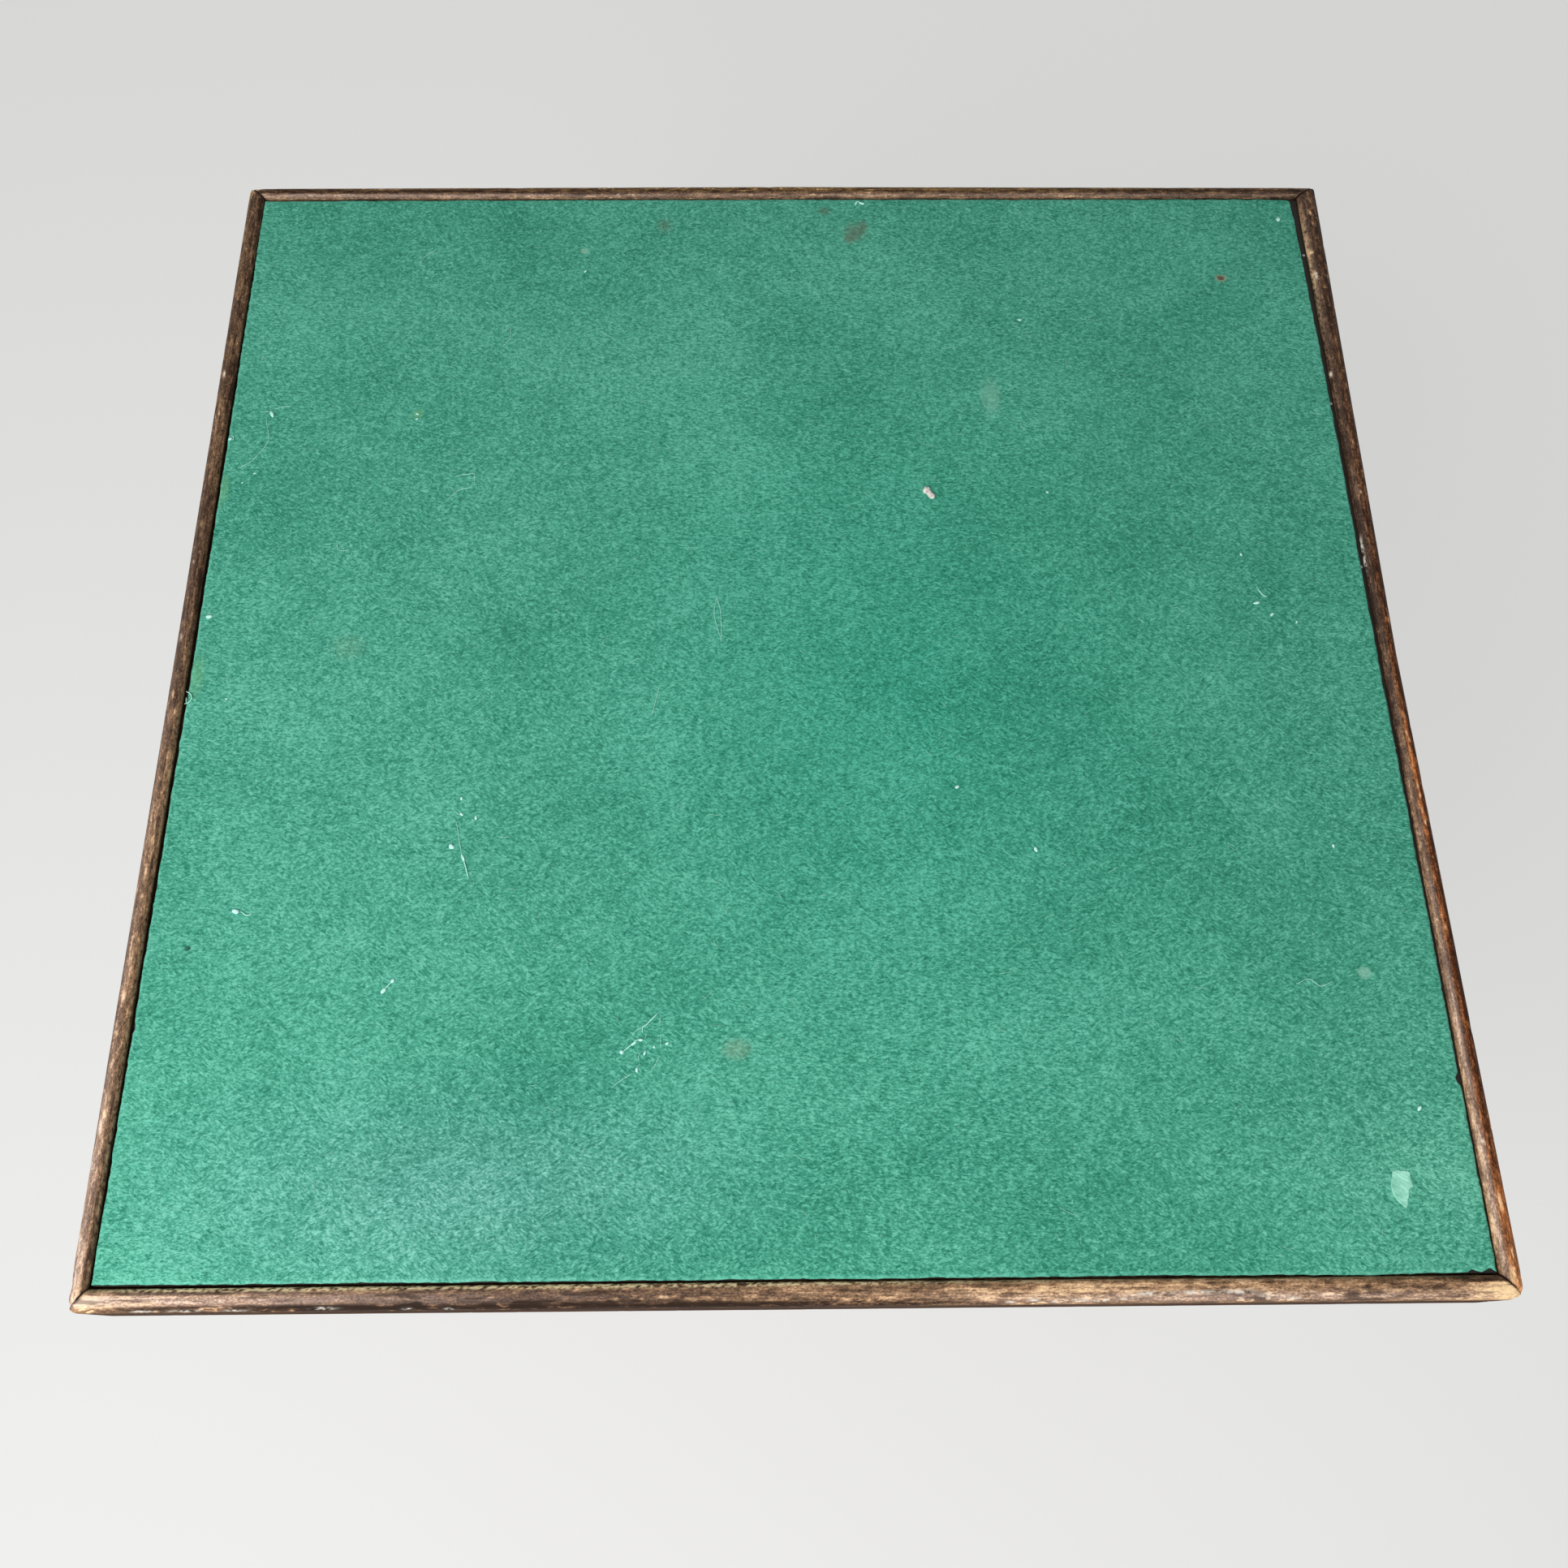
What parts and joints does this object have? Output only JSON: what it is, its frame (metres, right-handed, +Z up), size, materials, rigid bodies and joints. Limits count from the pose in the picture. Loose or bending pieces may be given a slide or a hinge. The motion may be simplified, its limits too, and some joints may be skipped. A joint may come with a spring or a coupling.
{
  "type": "folding card table",
  "caption": "Square card table with a baize playing surface in a dark wooden rim; its tapered legs fold flat inside the frame on jointed steel stays.",
  "frame": {"origin": "on the floor, under the middle of the table top", "axes": "+Z up; +Y towards the back rail; +X towards the right rail, seen from the front"},
  "size_m": [0.762, 0.762, 0.686],
  "materials": {
    "rail_wood": "dark stained hardwood, worn to bare wood at corners and arrises",
    "leg_wood": "dark stained hardwood",
    "block_wood": "bare softwood",
    "plywood": "bare plywood",
    "baize": "napped green wool baize",
    "dull_steel": "dull mild steel, lightly tarnished",
    "bright_steel": "bright steel, lightly worn"
  },
  "bodies": {
    "top": {"rail_front": "rail_wood", "rail_right": "rail_wood", "rail_back": "rail_wood", "rail_left": "rail_wood", "playing_board": "plywood", "baize": "baize", "board_pins": "dull_steel", "mitre_pins": "dull_steel", "corner_block_front_left": "block_wood", "corner_block_front_right": "block_wood", "corner_block_back_right": "block_wood", "corner_block_back_left": "block_wood", "block_screws": "dull_steel", "hinge_plate_front_left": "dull_steel", "hinge_plate_front_right": "dull_steel", "hinge_plate_back_right": "dull_steel", "hinge_plate_back_left": "dull_steel", "hinge_stud_front_left": "bright_steel", "hinge_stud_front_right": "bright_steel", "hinge_stud_back_right": "bright_steel", "hinge_stud_back_left": "bright_steel", "hinge_spacers": "dull_steel", "hinge_washers": "dull_steel", "stay_plate_front_left": "dull_steel", "stay_plate_front_right": "dull_steel", "stay_plate_back_right": "dull_steel", "stay_plate_back_left": "dull_steel", "stay_studs": "bright_steel", "plate_screws": "bright_steel"},
    "leg_front_left": {"leg_front_left": "leg_wood", "foot_glide_front_left": "bright_steel", "leg_stud_front_left": "bright_steel"},
    "stay_upper_front_left": {"stay_upper_front_left": "dull_steel", "knuckle_upper_front_left": "bright_steel"},
    "stay_lower_front_left": {"stay_lower_front_left": "dull_steel", "knuckle_lower_front_left": "bright_steel"},
    "leg_front_right": {"leg_front_right": "leg_wood", "foot_glide_front_right": "bright_steel", "leg_stud_front_right": "bright_steel"},
    "stay_upper_front_right": {"stay_upper_front_right": "dull_steel", "knuckle_upper_front_right": "bright_steel"},
    "stay_lower_front_right": {"stay_lower_front_right": "dull_steel", "knuckle_lower_front_right": "bright_steel"},
    "leg_back_right": {"leg_back_right": "leg_wood", "foot_glide_back_right": "bright_steel", "leg_stud_back_right": "bright_steel"},
    "stay_upper_back_right": {"stay_upper_back_right": "dull_steel", "knuckle_upper_back_right": "bright_steel"},
    "stay_lower_back_right": {"stay_lower_back_right": "dull_steel", "knuckle_lower_back_right": "bright_steel"},
    "leg_back_left": {"leg_back_left": "leg_wood", "foot_glide_back_left": "bright_steel", "leg_stud_back_left": "bright_steel"},
    "stay_upper_back_left": {"stay_upper_back_left": "dull_steel", "knuckle_upper_back_left": "bright_steel"},
    "stay_lower_back_left": {"stay_lower_back_left": "dull_steel", "knuckle_lower_back_left": "bright_steel"}
  },
  "joints": [
    {"name": "fold_front_left", "type": "hinge", "parent": "top", "child": "leg_front_left", "pos_m": [-0.3346, -0.3402, 0.652], "axis": [0, -1, 0], "range_deg": [0, 90]},
    {"name": "stay_upper_turn_front_left", "type": "hinge", "parent": "top", "child": "stay_upper_front_left", "pos_m": [-0.1846, -0.3402, 0.652], "axis": [0, 1, 0], "range_deg": [0, 45]},
    {"name": "stay_lower_turn_front_left", "type": "hinge", "parent": "leg_front_left", "child": "stay_lower_front_left", "pos_m": [-0.3346, -0.3402, 0.502], "axis": [0, -1, 0], "range_deg": [0, 45]},
    {"name": "fold_front_right", "type": "hinge", "parent": "top", "child": "leg_front_right", "pos_m": [0.3402, -0.3346, 0.652], "axis": [1, 0, 0], "range_deg": [0, 90]},
    {"name": "stay_upper_turn_front_right", "type": "hinge", "parent": "top", "child": "stay_upper_front_right", "pos_m": [0.3402, -0.1846, 0.652], "axis": [-1, 0, 0], "range_deg": [0, 45]},
    {"name": "stay_lower_turn_front_right", "type": "hinge", "parent": "leg_front_right", "child": "stay_lower_front_right", "pos_m": [0.3402, -0.3346, 0.502], "axis": [1, 0, 0], "range_deg": [0, 45]},
    {"name": "fold_back_right", "type": "hinge", "parent": "top", "child": "leg_back_right", "pos_m": [0.3346, 0.3402, 0.652], "axis": [0, 1, 0], "range_deg": [0, 90]},
    {"name": "stay_upper_turn_back_right", "type": "hinge", "parent": "top", "child": "stay_upper_back_right", "pos_m": [0.1846, 0.3402, 0.652], "axis": [0, -1, 0], "range_deg": [0, 45]},
    {"name": "stay_lower_turn_back_right", "type": "hinge", "parent": "leg_back_right", "child": "stay_lower_back_right", "pos_m": [0.3346, 0.3402, 0.502], "axis": [0, 1, 0], "range_deg": [0, 45]},
    {"name": "fold_back_left", "type": "hinge", "parent": "top", "child": "leg_back_left", "pos_m": [-0.3402, 0.3346, 0.652], "axis": [-1, 0, 0], "range_deg": [0, 90]},
    {"name": "stay_upper_turn_back_left", "type": "hinge", "parent": "top", "child": "stay_upper_back_left", "pos_m": [-0.3402, 0.1846, 0.652], "axis": [1, 0, 0], "range_deg": [0, 45]},
    {"name": "stay_lower_turn_back_left", "type": "hinge", "parent": "leg_back_left", "child": "stay_lower_back_left", "pos_m": [-0.3402, 0.3346, 0.502], "axis": [-1, 0, 0], "range_deg": [0, 45]}
  ],
  "couplings": [
    {"joint": "stay_upper_turn_front_left", "follows": "fold_front_left", "ratio": 0.5},
    {"joint": "stay_lower_turn_front_left", "follows": "fold_front_left", "ratio": 0.5},
    {"joint": "stay_upper_turn_front_right", "follows": "fold_front_right", "ratio": 0.5},
    {"joint": "stay_lower_turn_front_right", "follows": "fold_front_right", "ratio": 0.5},
    {"joint": "stay_upper_turn_back_right", "follows": "fold_back_right", "ratio": 0.5},
    {"joint": "stay_lower_turn_back_right", "follows": "fold_back_right", "ratio": 0.5},
    {"joint": "stay_upper_turn_back_left", "follows": "fold_back_left", "ratio": 0.5},
    {"joint": "stay_lower_turn_back_left", "follows": "fold_back_left", "ratio": 0.5}
  ]
}
